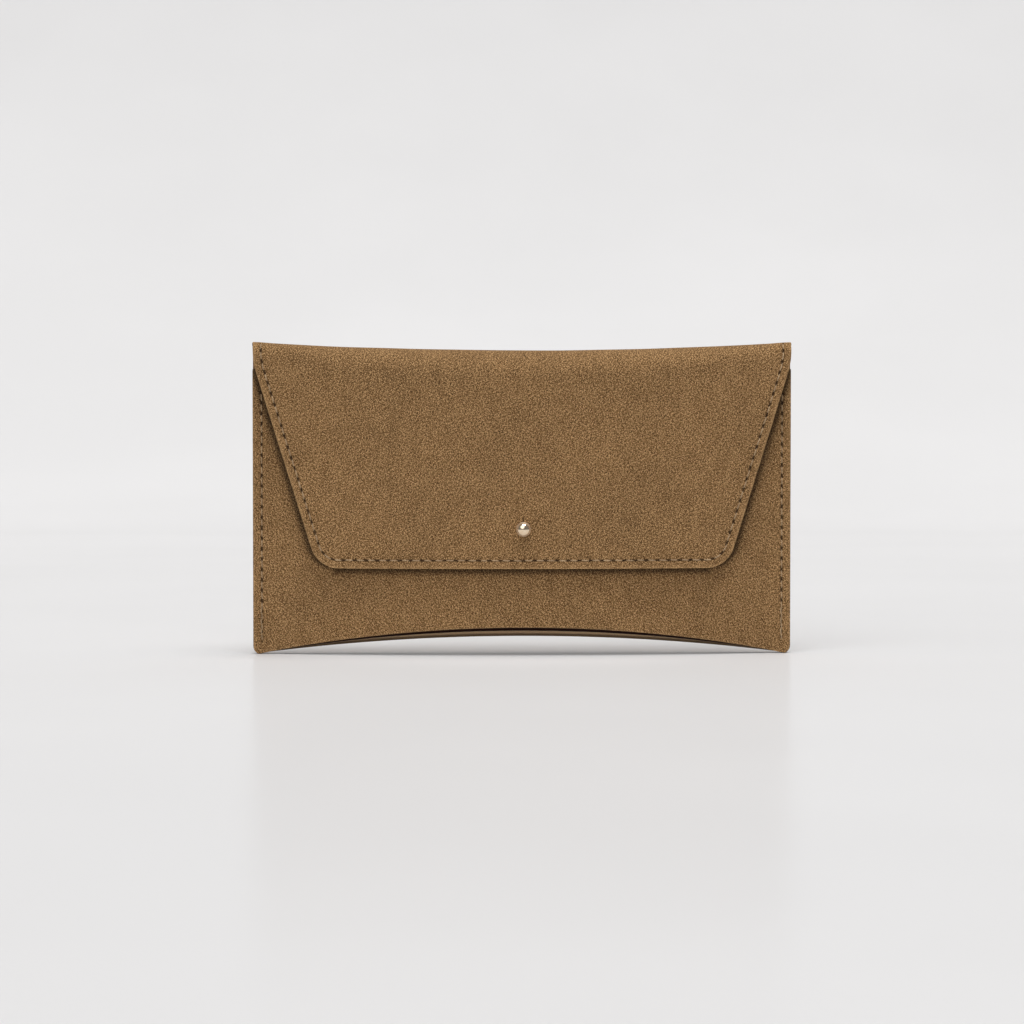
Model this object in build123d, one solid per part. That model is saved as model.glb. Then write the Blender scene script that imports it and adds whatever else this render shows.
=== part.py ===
from build123d import *
from math import atan, cos, hypot, pi, radians, sin, tan
import os

# Soft envelope pouch for glasses, in millimetres. X is across the pouch, the front faces -Y and Z is up.
# The origin is under the middle of the closed pouch, stud included. Places through the pouch are given
# as a depth: 0 at the outside of the back panel, growing towards the front.

# ---- driving dimensions ----
width = 185.0
height = 107.0                # from the lower corners to the two ends of the top fold
bow = 10.5                    # how far the middle of the front stands out from its side seams
suede = 1.2
lining = 0.5
board = 0.36                  # leatherboard stiffener, in the room between suede and lining
board_room = 0.4
seam_margin = 6.5             # flat strip at each side where the layers are sewn together
corner_radius = 3.0           # lower corners of the front and back panels

mouth_z = 98.0                # upper edge of the front panel
front_arch = 10.0             # rise of the front panel's lower edge, before its corners are rounded
back_arch = 6.0
back_leg_top = 94.0           # up to here the back is flat, and above it the fold begins
lining_setback = 1.6          # from the back panel's lower edge up to the flat lining
lining_bead = 0.8             # height of the folded lower edge of the lining
gusset_top = 24.0             # here the front lining leaves the front and slopes to the back
gusset_foot = 7.5
gusset_foot_bow = 0.3

flap_lift = 1.2               # gap between the front panel and the closed flap
flap_bottom_z = 29.6
flap_half_bottom = 70.2       # half width of the flap at its lower edge, before its corners are rounded
flap_shoulder_z = 100.2       # here the slanted edges reach the pouch's full width
flap_corner = 10.0

stud_z = 43.4
ball_radius = 2.5
neck_radius = 1.5
collar_radius = 3.5
collar_thickness = 0.9
ball_standoff = 5.5           # from the front panel's surface to the ball's centre
screw_radius = 1.25
screw_bore_radius = 1.3
screw_hole_radius = 1.4       # hole in the layers that the screw goes through
screw_head_radius = 4.0
screw_head_thickness = 0.8
screw_reach = 3.2             # how far the screw goes into the stud
screw_slot_width = 0.8
screw_slot_depth = 0.4
patch_radius = 7.0
patch_thickness = 0.8
ball_clearance = 0.3          # round the ball as it goes through the hole in the flap
ball_drop = 1.8               # how far the ball moves down in the hole while the flap lifts off

thread_width = 0.55
thread_rise = 0.22
stitch_gap = 0.9              # between the ends of two stitches
seat_gap = 0.04               # under a flat face that sits on a bowed one
edge_distance = 3.1           # from an edge to its row of stitches
seam_pitch = 3.5
hem_pitch = 3.8
seam_bottom_z = 4.0
seam_groove_width = 0.8       # the back's side seams lie sunk in a groove, so that the back is flat
seam_groove_depth = 0.3
stiffener_inset = 5.0         # from an edge to the edge of the stiffener
flap_board_top_z = 92.0

# The two crease axes that the fold bends about. Each is a depth and a height, just outside the sheet,
# with the direction in which the crease runs through the sheet.
rear_crease = (1.0, 106.6)
rear_crease_run = -60.0
front_crease = (9.5, 105.2)
front_crease_run = -128.5
crease_gap = 0.3
between_legs = 5.1            # a depth between the back and the flap at the ends of the fold
part_gap = 0.2

# ---- derived dimensions ----
half_width = width / 2
seam_x = half_width - seam_margin
panel = suede + board_room + lining
front_face = 2 * panel                     # depth of the front panel's outside at the side seams
closed_depth = front_face + flap_lift + panel
ball_depth = front_face + bow + ball_standoff
stud_tip = ball_depth + ball_radius
back_y = stud_tip / 2                      # Y of the back panel's outside
end_radius = closed_depth / 2
sheet_line = height + (pi / 2 - 1) * end_radius
beyond = 30.0                              # longer than any part is deep, for cutting


def y_at(depth):
    """Y of a depth through the pouch."""
    return back_y - depth


def arc_height(x, half_chord, sagitta):
    """Height over its chord of a circular arc with the given half chord and sagitta, at x."""
    radius = (half_chord**2 + sagitta**2) / (2 * sagitta)
    return (radius**2 - x**2) ** 0.5 - (radius - sagitta)


def front_bow(x):
    """How far the front panel stands out at x."""
    return arc_height(x, seam_x, bow) if abs(x) < seam_x else 0.0


def flap_bow(x):
    """How far the flap stands out at x."""
    return arc_height(x, half_width, bow)


def slope_of(curve, x):
    """Angle in degrees of a bow curve at x."""
    step = 0.01
    rise = curve(x + step) - curve(x - step)
    return atan(rise / (2 * step)) * 180 / pi


# ---- outlines, looking at the front: X to the right and Z up ----
def through(outline):
    """A prism through the whole depth of the pouch with the given outline."""
    return extrude(Plane.XZ * outline, amount=2 * beyond, both=True)


def arched_outline(arch, rise, inset_x=0.0, lift=0.0):
    """A panel outline whose lower edge is a shallow arch and whose lower corners are rounded.

    Its lowest points, on the rounded corners, are at the lift. Its top is the rise over its sharp corners."""
    edge_x = half_width - inset_x
    sides = Polyline((-edge_x, 0), (-edge_x, rise), (edge_x, rise), (edge_x, 0))
    lower = ThreePointArc((edge_x, 0), (0, arch), (-edge_x, 0))
    face = make_face([*sides.edges(), lower])
    face = fillet(face.vertices().sort_by(Axis.Y)[:2], corner_radius)
    return Pos(0, lift - face.bounding_box().min.Y) * face


def flap_corners(inset, top_z):
    """Upper and lower left corner points of the flap, moved inside its edges by the inset."""
    lean = (half_width - flap_half_bottom) / (flap_shoulder_z - flap_bottom_z)
    shift = inset * hypot(1, lean)
    low_z = flap_bottom_z + inset
    low_x = flap_half_bottom + lean * inset - shift
    high_x = flap_half_bottom + lean * (top_z - flap_bottom_z) - shift
    return (-high_x, top_z), (-low_x, low_z)


def flap_edge(inset, top_z):
    """The flap's free edge moved inside by the inset, from the left, round the bottom, to the right."""
    high, low = flap_corners(inset, top_z)
    return FilletPolyline(high, low, (-low[0], low[1]), (-high[0], high[1]), radius=flap_corner - inset)


def flap_outline(inset=0.0, top_z=None):
    """The flap's outline. Without top_z it keeps the pouch's full width over the shoulders."""
    edge = flap_edge(inset, top_z or flap_shoulder_z)
    start, end = edge @ 0, edge @ 1
    if top_z:
        return make_face([*edge.edges(), Line(end, start)])
    top = height + corner_radius
    closing = Polyline(end, (half_width, flap_shoulder_z), (half_width, top), (-half_width, top), start)
    return make_face([*edge.edges(), *closing.edges()])


# ---- sheets ----
def front_layer(inner, outer, low_z, high_z, sagitta=bow, half_span=half_width):
    """A bowed layer of the front, between two depths measured at the side seams."""
    return extrude(Pos(0, 0, low_z) * front_section(inner, outer, sagitta, half_span), high_z - low_z)


def front_section(inner, outer, sagitta, half_span):
    """Plan of a bowed layer: flat at the side seams and an arc between them."""
    inside = bowed_line(inner, sagitta, half_span)
    outside = bowed_line(outer, sagitta, half_span)
    ends = [Line(inside @ 0, outside @ 0), Line(inside @ 1, outside @ 1)]
    return make_face([*inside.edges(), *outside.edges(), *ends])


def bowed_line(depth, sagitta, half_span):
    """Plan line of one face of a bowed layer, out to half_span each side."""
    span = min(seam_x, half_span)
    rise = sagitta - (arc_height(0, seam_x, sagitta) - arc_height(span, seam_x, sagitta))
    foot, end = y_at(depth), y_at(depth + rise)
    arc = ThreePointArc((-span, end), (0, y_at(depth + sagitta)), (span, end))
    if half_span <= seam_x:
        return Wire([arc])
    left = Line((-half_span, foot), (-span, foot))
    right = Line((span, foot), (half_span, foot))
    return Wire([left, arc, right])


def fold_section(x, outer, inner):
    """Section at x of the sheet that runs up the back, over the fold and down the flap."""
    radius = (closed_depth + flap_bow(x)) / 2
    spring_z = sheet_line - pi / 2 * radius
    middle = y_at(radius)
    edges = []
    for reach in (radius - outer, radius - inner):
        edges.append(Line((middle + reach, -beyond), (middle + reach, spring_z)))
        edges.append(
            ThreePointArc((middle + reach, spring_z), (middle, spring_z + reach), (middle - reach, spring_z))
        )
        edges.append(Line((middle - reach, spring_z), (middle - reach, -beyond)))
    for side in (1, -1):
        edges.append(
            Line((middle + side * (radius - outer), -beyond), (middle + side * (radius - inner), -beyond))
        )
    return Plane.YZ.offset(x) * make_face(edges)


def folded_sheet(outer, inner):
    """The whole folded sheet between two depths under its outside."""
    stations = 9
    places = [half_width * (2 * i / (stations - 1) - 1) for i in range(stations)]
    return loft([fold_section(x, outer, inner) for x in places])


# ---- the three rigid parts of the folded sheet ----
def crease_line(crease, run, side, reach):
    """Two points on one side of a crease, from outside the sheet to the inside of the pouch."""
    along = (cos(radians(run)), sin(radians(run)))
    across = (-along[1] * side * crease_gap / 2, along[0] * side * crease_gap / 2)
    base = (crease[0] + across[0], crease[1] + across[1])
    return [(base[0] + t * along[0], base[1] + t * along[1]) for t in (-beyond, reach)]


def depth_prism(points):
    """A prism across the pouch with corners given as depth and height."""
    corners = [(y_at(depth), z) for depth, z in points]
    return extrude(Plane.YZ * make_face(Polyline(*corners, close=True)), amount=width, both=True)


def reach_to(crease, run, depth, side):
    """How far along a crease line it comes to a depth."""
    shift = sin(radians(run)) * side * crease_gap / 2
    return (depth - crease[0] + shift) / cos(radians(run))


def region_rear():
    """Everything behind the rear crease: the part that stays with the pouch."""
    inside = between_legs - part_gap / 2
    line = crease_line(rear_crease, rear_crease_run, -1, reach_to(rear_crease, rear_crease_run, inside, -1))
    return depth_prism([line[0], line[1], (inside, -beyond), (line[0][0], -beyond)])


def region_front():
    """Everything in front of the front crease: the part that moves with the flap."""
    inside = between_legs + part_gap / 2
    reach = reach_to(front_crease, front_crease_run, inside, 1)
    line = crease_line(front_crease, front_crease_run, 1, reach)
    return depth_prism([line[0], line[1], (inside, -beyond), (line[0][0], -beyond)])


def region_crest():
    """The wedge between the two creases: the strip along the top of the fold."""
    meeting = wedge_point()
    rear_top = crease_line(rear_crease, rear_crease_run, 1, 0)[0]
    front_top = crease_line(front_crease, front_crease_run, -1, 0)[0]
    return depth_prism([rear_top, meeting, front_top])


def wedge_point():
    """Where the two sides of the crest wedge meet inside the pouch."""
    rear = crease_line(rear_crease, rear_crease_run, 1, 0)
    front = crease_line(front_crease, front_crease_run, -1, 0)
    rear_slope = tan(radians(rear_crease_run))
    front_slope = tan(radians(front_crease_run))
    (rear_d, rear_z), (front_d, front_z) = rear[1], front[1]
    depth = (front_z - rear_z + rear_slope * rear_d - front_slope * front_d) / (rear_slope - front_slope)
    return depth, rear_z + rear_slope * (depth - rear_d)


# ---- stitches ----
def stitch(length):
    """One visible stitch, flat side down, along its own X."""
    return extrude(SlotOverall(length, thread_width), thread_rise)


def seam(path, pitch, curve, depth, side):
    """A row of stitches along a path in the front view, lying on a bowed face.

    curve gives the bow at x, depth the face's depth where there is no bow, and side is 1 on a face
    that looks forward and -1 on one that looks back."""
    count = int(path.length // pitch)
    stitches = []
    for i in range(count):
        place = path @ ((i + 0.5) / count)
        run = path % ((i + 0.5) / count)
        turn = radians(slope_of(curve, place.X))
        normal = Vector(-sin(turn), -cos(turn), 0) * side
        along = Vector(run.X, -tan(turn) * run.X, run.Y)
        origin = Vector(place.X, y_at(depth + curve(place.X)), place.Y) + normal * seat_gap
        length = path.length / count - stitch_gap
        stitches.append(Plane(origin, x_dir=along, z_dir=normal) * stitch(length))
    return Compound(children=stitches)


def flat(x):
    """The bow of a flat face."""
    return 0.0


# ---- the nodes ----
front_lining_depth = panel
front_board_depth = panel + lining
front_suede_depth = panel + lining + board_room
front_surface = front_face + bow
lining_surface = panel + bow
screw_hole = Pos(0, 0, stud_z) * Cylinder(screw_hole_radius, 4 * beyond, rotation=(90, 0, 0))
drop_outline = Pos(0, stud_z - ball_drop / 2) * SlotCenterToCenter(
    ball_drop, 2 * (ball_radius + ball_clearance), rotation=90
)
ball_hole = through(drop_outline)


def front_panel():
    sheet = front_layer(front_suede_depth, front_face, 0, mouth_z)
    return sheet & through(arched_outline(front_arch, height)) - screw_hole


def front_stiffener():
    slack = (board_room - board) / 2
    inner = front_board_depth + slack
    low_z = front_arch + stiffener_inset
    half_span = seam_x - stiffener_inset
    sheet = front_layer(inner, inner + board, low_z, mouth_z - stiffener_inset, half_span=half_span)
    return sheet - screw_hole


def front_lining():
    return front_layer(front_lining_depth, front_board_depth, gusset_top, mouth_z) - screw_hole


def gusset_lining():
    """The lining's slope from the front of the pocket to the back."""
    inner, outer = front_lining_depth, front_board_depth
    high = Pos(0, 0, gusset_top) * front_section(inner, outer, bow, half_width)
    foot = Pos(0, 0, gusset_foot) * front_section(inner, outer, gusset_foot_bow, half_width)
    return loft([foot, high], ruled=True)


def bottom_lining():
    """The lining under its slope, with the folded lower edge that joins it to the back lining."""
    inner, outer = front_lining_depth, front_board_depth
    edge = arched_outline(back_arch, height, lift=lining_setback)
    sheet = front_layer(inner, outer, 0, gusset_foot, sagitta=gusset_foot_bow) & through(edge)
    bead_outline = arched_outline(back_arch, gusset_foot, lift=lining_setback - lining_bead) - edge
    bead_depth = panel - inner + 2 * lining + gusset_foot_bow
    bead = extrude(Plane.XZ.offset(-y_at(panel - lining)) * bead_outline, bead_depth)
    return sheet + bead


def back_leg(outer, inner, lift=0.0):
    """The flat part of the folded sheet, from its arched lower edge up to the fold."""
    below = Pos(0, back_leg_top / 2) * Rectangle(2 * width, back_leg_top)
    outline = arched_outline(back_arch, height, lift=lift) & below
    return extrude(Plane.XZ.offset(-y_at(outer)) * outline, inner - outer)


def seam_grooves():
    """The two grooves in the back that the side seams lie in."""
    long = mouth_z - seam_bottom_z
    groove = Box(seam_groove_width, 2 * seam_groove_depth, long)
    middle_z = seam_bottom_z + long / 2 - seam_groove_width / 2
    places = [(side * (half_width - edge_distance), y_at(0), middle_z) for side in (-1, 1)]
    return [Pos(*place) * groove for place in places]


def back_stiffener():
    slack = (board_room - board) / 2
    rise = mouth_z - 2 * stiffener_inset
    inset_x = seam_margin + stiffener_inset
    outline = arched_outline(back_arch, rise, inset_x=inset_x, lift=stiffener_inset)
    return extrude(Plane.XZ.offset(-y_at(suede + slack)) * outline, board)


def flap_stiffener(front):
    slack = (board_room - board) / 2
    sheet = folded_sheet(suede + slack, suede + slack + board)
    return sheet & front & through(flap_outline(stiffener_inset, flap_board_top_z)) - ball_hole


def stud_patch():
    disc = Pos(0, y_at(lining_surface), stud_z) * Cylinder(patch_radius, beyond, rotation=(90, 0, 0))
    sheet = front_layer(front_lining_depth - patch_thickness, front_lining_depth, 0, mouth_z,
                        half_span=seam_x)
    return sheet & disc - screw_hole


def stud():
    """Collar, neck and ball, turned in one piece, with a hole for the screw in its back."""
    collar = Cylinder(collar_radius, collar_thickness, align=(Align.CENTER, Align.CENTER, Align.MIN))
    neck = Cylinder(neck_radius, ball_standoff, align=(Align.CENTER, Align.CENTER, Align.MIN))
    collar = fillet(collar.edges().sort_by(Axis.Z)[-1:], collar_thickness / 3)
    ball = Pos(0, 0, ball_standoff) * Sphere(ball_radius)
    bore = Cylinder(screw_bore_radius, screw_reach + part_gap, align=(Align.CENTER, Align.CENTER, Align.MIN))
    return stud_plane(front_surface) * (collar + neck + ball - bore)


def stud_screw():
    """Slotted screw from inside the pocket, through the front and into the stud."""
    length = seat_gap + patch_thickness + panel + screw_reach
    shank = Cylinder(screw_radius, length, align=(Align.CENTER, Align.CENTER, Align.MIN))
    head = Cylinder(screw_head_radius, screw_head_thickness, align=(Align.CENTER, Align.CENTER, Align.MAX))
    head = fillet(head.edges().sort_by(Axis.Z)[:1], screw_head_thickness / 2)
    slot = Pos(0, 0, -screw_head_thickness) * Box(2 * screw_head_radius, screw_slot_width, 2 * screw_slot_depth)
    return stud_plane(lining_surface - patch_thickness - seat_gap) * (shank + head - slot)


def stud_plane(depth):
    """A plane at the stud that looks forward from a depth."""
    return Plane((0, y_at(depth), stud_z), x_dir=(1, 0, 0), z_dir=(0, -1, 0))


def seams():
    """Each lockstitch row has a needle thread on its face side and a bobbin thread on the other."""
    rows = {}
    seam_x_place = half_width - edge_distance
    for name, x in (("left", -seam_x_place), ("right", seam_x_place)):
        path = Line((x, seam_bottom_z), (x, mouth_z - 1))
        rows[f"{name}_seam_needle_thread"] = seam(path, seam_pitch, flat, front_face, 1)
        rows[f"{name}_seam_bobbin_thread"] = seam(path, seam_pitch, flat, seam_groove_depth, -1)
    hem = flap_edge(edge_distance, flap_shoulder_z - edge_distance)
    rows["flap_hem_needle_thread"] = seam(hem, hem_pitch, flap_bow, closed_depth, 1)
    rows["flap_hem_bobbin_thread"] = seam(hem, hem_pitch, flap_bow, closed_depth - panel, -1)
    mouth_x = seam_x - edge_distance
    mouth = Line((-mouth_x, mouth_z - edge_distance), (mouth_x, mouth_z - edge_distance))
    rows["mouth_hem_needle_thread"] = seam(mouth, hem_pitch, front_bow, front_face, 1)
    rows["mouth_hem_bobbin_thread"] = seam(mouth, hem_pitch, front_bow, front_lining_depth, -1)
    return rows


def build():
    rear, crest, front = region_rear(), region_crest(), region_front()
    outside = folded_sheet(0, suede)
    inside = folded_sheet(suede + board_room, panel)
    above = Pos(0, 0, back_leg_top + beyond) * Box(2 * width, 2 * beyond, 2 * beyond)
    flap_cut = through(flap_outline())
    nodes = {
        "back_panel": (outside & rear & above) + back_leg(0, suede) - seam_grooves(),
        "fold_panel": outside & crest,
        "flap_panel": outside & front & flap_cut - ball_hole,
        "back_lining": (inside & rear & above) + back_leg(suede + board_room, panel, lining_setback),
        "fold_lining": inside & crest,
        "flap_lining": inside & front & flap_cut - ball_hole,
        "front_panel": front_panel(),
        "front_lining": front_lining(),
        "gusset_lining": gusset_lining(),
        "bottom_lining": bottom_lining(),
        "front_stiffener": front_stiffener(),
        "back_stiffener": back_stiffener(),
        "flap_stiffener": flap_stiffener(front),
        "stud_patch": stud_patch(),
        "stud": stud(),
        "stud_screw": stud_screw(),
    }
    nodes.update(seams())
    return nodes


os.makedirs("parts", exist_ok=True)
for name, shape in build().items():
    export_step(shape, f"parts/{name}.step")
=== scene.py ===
import math
import bpy
import numpy as np
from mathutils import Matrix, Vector
from mathutils.kdtree import KDTree


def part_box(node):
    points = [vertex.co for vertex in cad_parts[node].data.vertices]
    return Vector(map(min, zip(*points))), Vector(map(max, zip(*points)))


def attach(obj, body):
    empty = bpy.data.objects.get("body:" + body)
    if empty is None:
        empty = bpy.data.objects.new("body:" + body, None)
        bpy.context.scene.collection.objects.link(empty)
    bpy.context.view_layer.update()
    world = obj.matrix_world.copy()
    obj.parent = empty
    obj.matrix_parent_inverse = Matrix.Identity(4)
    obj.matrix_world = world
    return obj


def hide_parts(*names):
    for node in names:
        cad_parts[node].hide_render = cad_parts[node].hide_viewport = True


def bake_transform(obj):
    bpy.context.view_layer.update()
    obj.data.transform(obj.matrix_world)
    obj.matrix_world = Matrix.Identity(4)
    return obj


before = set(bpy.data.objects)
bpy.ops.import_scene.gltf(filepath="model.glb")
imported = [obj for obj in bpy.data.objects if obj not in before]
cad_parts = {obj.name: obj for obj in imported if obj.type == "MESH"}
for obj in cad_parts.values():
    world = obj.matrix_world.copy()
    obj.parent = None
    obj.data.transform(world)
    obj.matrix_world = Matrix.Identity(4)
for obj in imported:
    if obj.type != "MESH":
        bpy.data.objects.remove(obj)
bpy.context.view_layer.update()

# The suede pouch's visible pieces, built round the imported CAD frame. Lengths are in millimetres and become
# metres when a mesh is made. Places through the pouch are a depth: 0 at the outside of the back, growing
# towards the front. A place on a sheet is x and the distance s along the sheet, with t under its outside.
MM = 0.001


def cad_high(node, axis):
    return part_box(node)[1][axis] / MM


def cad_low(node, axis):
    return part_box(node)[0][axis] / MM


# ---- sizes from the frame ----
HALF_WIDTH = cad_high("front_panel", 0)
BACK_Y = cad_high("back_panel", 1)
MOUTH_Z = cad_high("front_panel", 2)
FOLD_TOP = cad_high("fold_panel", 2)
FLAP_LOW = cad_low("flap_panel", 2)
STUD_Z = (cad_low("stud", 2) + cad_high("stud", 2)) / 2
STUD_FRONT = BACK_Y - cad_low("stud", 1)
FRONT_MIDDLE = BACK_Y - cad_low("front_panel", 1)
SEAT_Y = cad_high("stud", 1)

# ---- sizes that go with them ----
SUEDE = 1.2
PRESSED_SUEDE = 1.6           # where the layers are sewn together the stiffener's room closes up
PANEL = 2.1
LINING = 0.44
FRONT_FACE = 2 * PANEL        # depth of the front panel's outside at the side seams
CLOSED_DEPTH = FRONT_FACE + 1.2 + PANEL
BOW = FRONT_MIDDLE - FRONT_FACE
SEAM_X = HALF_WIDTH - 6.5
CREASE = 0.14                 # softness of the crease beside each side seam
END_RADIUS = CLOSED_DEPTH / 2
SHEET_LINE = FOLD_TOP + (math.pi / 2 - 1) * END_RADIUS
SPLIT_DEPTH = 4.85            # the suede divides here, between the two hinges of the fold
RIM = 0.3                     # how far a cut edge rounds over
CORNER = 3.0
FRONT_ARCH = 10.1
BACK_ARCH = 6.0
LINING_LIFT = 0.2             # the lining's bottom fold over the back's lower edge, at the corners
LINING_SETBACK = 1.9          # and how much higher it lies in the middle
LINING_TURN = 0.27            # radius of that fold
FLOOR_GAP = 0.2               # height of the lowest corners over the floor
FLAP_HALF_LOW = 70.2
FLAP_SHOULDER = 100.2
FLAP_CORNER = 10.0
GUSSET_FOOT = 7.5
GUSSET_TOP = 24.0
EDGE_DISTANCE = 3.1
SEAM_PITCH = 3.5
HEM_PITCH = 3.8
HOLE_RADIUS = 1.75
SLIT_LENGTH = 2.8
SLIT_HALF = 0.055
BALL_RADIUS = 2.5
NECK_RADIUS = 1.5
COLLAR_RADIUS = 3.5
COLLAR_THICKNESS = 0.9
THREAD_RADIUS = 0.27
STITCH_HEIGHT = 0.1           # of a stitch's centre line over the suede
STITCH_DIP = 1.15             # how much lower it ends, in its holes
TWIST_LENGTH = 1.7            # of one turn of the two plies
PATH_STEP = 0.05              # distance between the points of a row's path
MARK_REACH = 2.5              # how far off a row its marks are kept
EXTRA_STITCHES = 3            # at the foot of each side seam, halfway between the others
RIPPLE = 0.3                  # the most that the suede stands out
RIPPLE_LENGTHS = (90, 61, 47, 33, 24)
RIPPLE_SUM = 5.6              # about twice the sum of the waves' heights, the longest one's taken as 1
FOLDED_SEED = 11
FRONT_SEED = 23
THREAD_SEED = 100


# ---- curves of the pouch ----
def arc_height(x, half_chord, sagitta):
    """Height over its chord of a circular arc with the given half chord and sagitta."""
    radius = (half_chord**2 + sagitta**2) / (2 * sagitta)
    return np.sqrt(radius**2 - np.square(x)) - (radius - sagitta)


def front_bow(x):
    """How far the front stands out at x, flat beside the side seams."""
    return CREASE * np.logaddexp(0, arc_height(x, SEAM_X, BOW) / CREASE)


def lower_edge(x, arch):
    """Height of an arched lower edge over the two lowest corners."""
    corner_x = HALF_WIDTH - CORNER
    return arc_height(x, HALF_WIDTH, arch) - arc_height(corner_x, HALF_WIDTH, arch) + FLOOR_GAP


def fold_radius(x):
    return END_RADIUS + arc_height(x, HALF_WIDTH, BOW) / 2


def split_s(x):
    """Where the suede divides, as a distance along the folded sheet."""
    radius = fold_radius(x)
    return SHEET_LINE - math.pi / 2 * radius + radius * np.arccos(1 - SPLIT_DEPTH / radius)


def ramp(value):
    """0 below 0, 1 above 1, straight between, with eased ends."""
    ease = 0.08
    return 0.5 * (np.sqrt(value**2 + ease**2) - np.sqrt((value - 1) ** 2 + ease**2) + 1)


def smooth(value):
    value = np.clip(value, 0, 1)
    return value * value * (3 - 2 * value)


def ripple(x, s, seed):
    """The slight unevenness of soft leather, always outwards."""
    rng = np.random.default_rng(seed)
    total = 0
    for length in RIPPLE_LENGTHS:
        turn = rng.uniform(0, 2 * math.pi)
        phase = rng.uniform(0, 2 * math.pi)
        across = (x * math.cos(turn) + s * math.sin(turn)) * 2 * math.pi / length
        total = total + np.sin(across + phase) * length / RIPPLE_LENGTHS[0]
    return RIPPLE * (0.5 + total / RIPPLE_SUM)


# ---- the surfaces: each gives points for x, s and t ----
def as_points(x, depth, z):
    return np.stack(np.broadcast_arrays(x, BACK_Y - depth, z), axis=-1)


def folded(x, s, t):
    """The sheet up the back, over the fold and down the flap."""
    inside = np.clip(x, -HALF_WIDTH, HALF_WIDTH)
    radius = fold_radius(inside)
    spring = SHEET_LINE - math.pi / 2 * radius
    turn = np.clip((s - spring) / radius, 0, math.pi)
    reach = radius - t
    z = spring + reach * np.sin(turn) - abs(s - spring - turn * radius)
    return as_points(x, radius - reach * np.cos(turn), z)


def front_sheet(x, s, t):
    return as_points(x, FRONT_FACE + front_bow(x) - t, s)


def pocket_sheet(x, s, t):
    """The inside face of the front, for what lies on it."""
    return as_points(x, PANEL + front_bow(x) - t, s)


# ---- grids ----
def column_places(half_width, edge_columns, middle_columns):
    """Places across a row of the given half width, close together near both edges."""
    inner = half_width - edge_columns[-1]
    steps = np.arange(middle_columns) / middle_columns
    middle = SLIT_HALF + (inner - SLIT_HALF) * steps
    right = np.concatenate([middle, half_width - np.array(edge_columns[::-1])])
    return np.concatenate([-right[::-1], right])


def rounded_heights(radius, first_turn, pieces):
    """Heights of points evenly spaced round a lower corner."""
    turns = np.radians(np.linspace(0, first_turn, pieces))
    return radius * (1 - np.cos(turns))


def fill_heights(start, end, spacing):
    """Heights that continue a list of heights up to the end."""
    count = max(1, round((end - start[-1]) / spacing))
    return np.concatenate([start, np.linspace(start[-1], end, count + 1)[1:]])


def lay_grid(heights, level, half_width_at, edge_columns, middle_columns):
    """x and s of a grid whose rows follow level(height, x) out to the outline."""
    edge = np.full(len(heights), HALF_WIDTH - RIM)
    for _ in range(6):
        edge = half_width_at(level(heights, edge))
    x = np.stack([column_places(e, edge_columns, middle_columns) for e in edge])
    return x, level(heights[:, None], x)


def boundary_edges(quads):
    """Directed edges of quads with no quad on their other side."""
    edges = np.concatenate([quads[:, [i, (i + 1) % 4]] for i in range(4)])
    base = quads.max() + 1
    alone = ~np.isin(edges[:, 0] * base + edges[:, 1], edges[:, 1] * base + edges[:, 0])
    return edges[alone]


def number_grid(x, keep=None):
    """The numbers of a grid's points, and those of the corners of its kept cells."""
    number = np.arange(x.size).reshape(x.shape)
    corners = (number[:-1, :-1], number[:-1, 1:], number[1:, 1:], number[1:, :-1])
    if keep is None:
        keep = np.ones(corners[0].shape, bool)
    return number, np.stack([c[keep] for c in corners], axis=1)


def faces_between(rings):
    """Faces that join each ring of edges to the next."""
    pairs = zip(rings[:-1], rings[1:])
    return [np.stack([upper[:, 1], upper[:, 0], lower[:, 0], lower[:, 1]], 1) for upper, lower in pairs]


def nearest(places, x, s):
    """Index of the nearest place, and its distance, for each x and s."""
    tree = KDTree(len(places))
    for i, (a, b) in enumerate(places):
        tree.insert((a, b, 0), i)
    tree.balance()
    hits = [tree.find((a, b, 0)) for a, b in zip(x.ravel(), s.ravel())]
    index = np.array([h[1] for h in hits]).reshape(x.shape)
    gap = np.array([h[2] for h in hits]).reshape(x.shape)
    return index, gap


def add_mesh(name, points, faces, flat_uv=None, values=None, sharp=None):
    """A smooth-shaded object from points in millimetres, with its flat pattern as UV."""
    mesh = bpy.data.meshes.new(name)
    mesh.from_pydata((points * MM).tolist(), [], faces)
    mesh.polygons.foreach_set("use_smooth", [True] * len(mesh.polygons))
    if flat_uv is not None:
        layer = mesh.uv_layers.new(name="flat")
        corner = np.zeros(len(mesh.loops), np.int32)
        mesh.loops.foreach_get("vertex_index", corner)
        layer.uv.foreach_set("vector", (flat_uv[corner] * MM).astype(np.float32).ravel())
    for key, value in (values or {}).items():
        attribute = mesh.attributes.new(key, "FLOAT", "POINT")
        attribute.data.foreach_set("value", value.astype(np.float32))
    if sharp is not None:
        ends = np.zeros(2 * len(mesh.edges), np.int32)
        mesh.edges.foreach_get("vertices", ends)
        marked = sharp[ends.reshape(-1, 2)].all(axis=1)
        mesh.attributes.new("sharp_edge", "BOOLEAN", "EDGE").data.foreach_set("value", marked)
    mesh.validate()
    obj = bpy.data.objects.new(name, mesh)
    bpy.context.scene.collection.objects.link(obj)
    return obj


# ---- closed sheets: the rings round a free edge, as shares of the thickness and of the rim's width ----
RIM_RINGS = ((0.1, 0.6), (0.32, 0.95), (0.68, 0.95), (0.9, 0.6))


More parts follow.
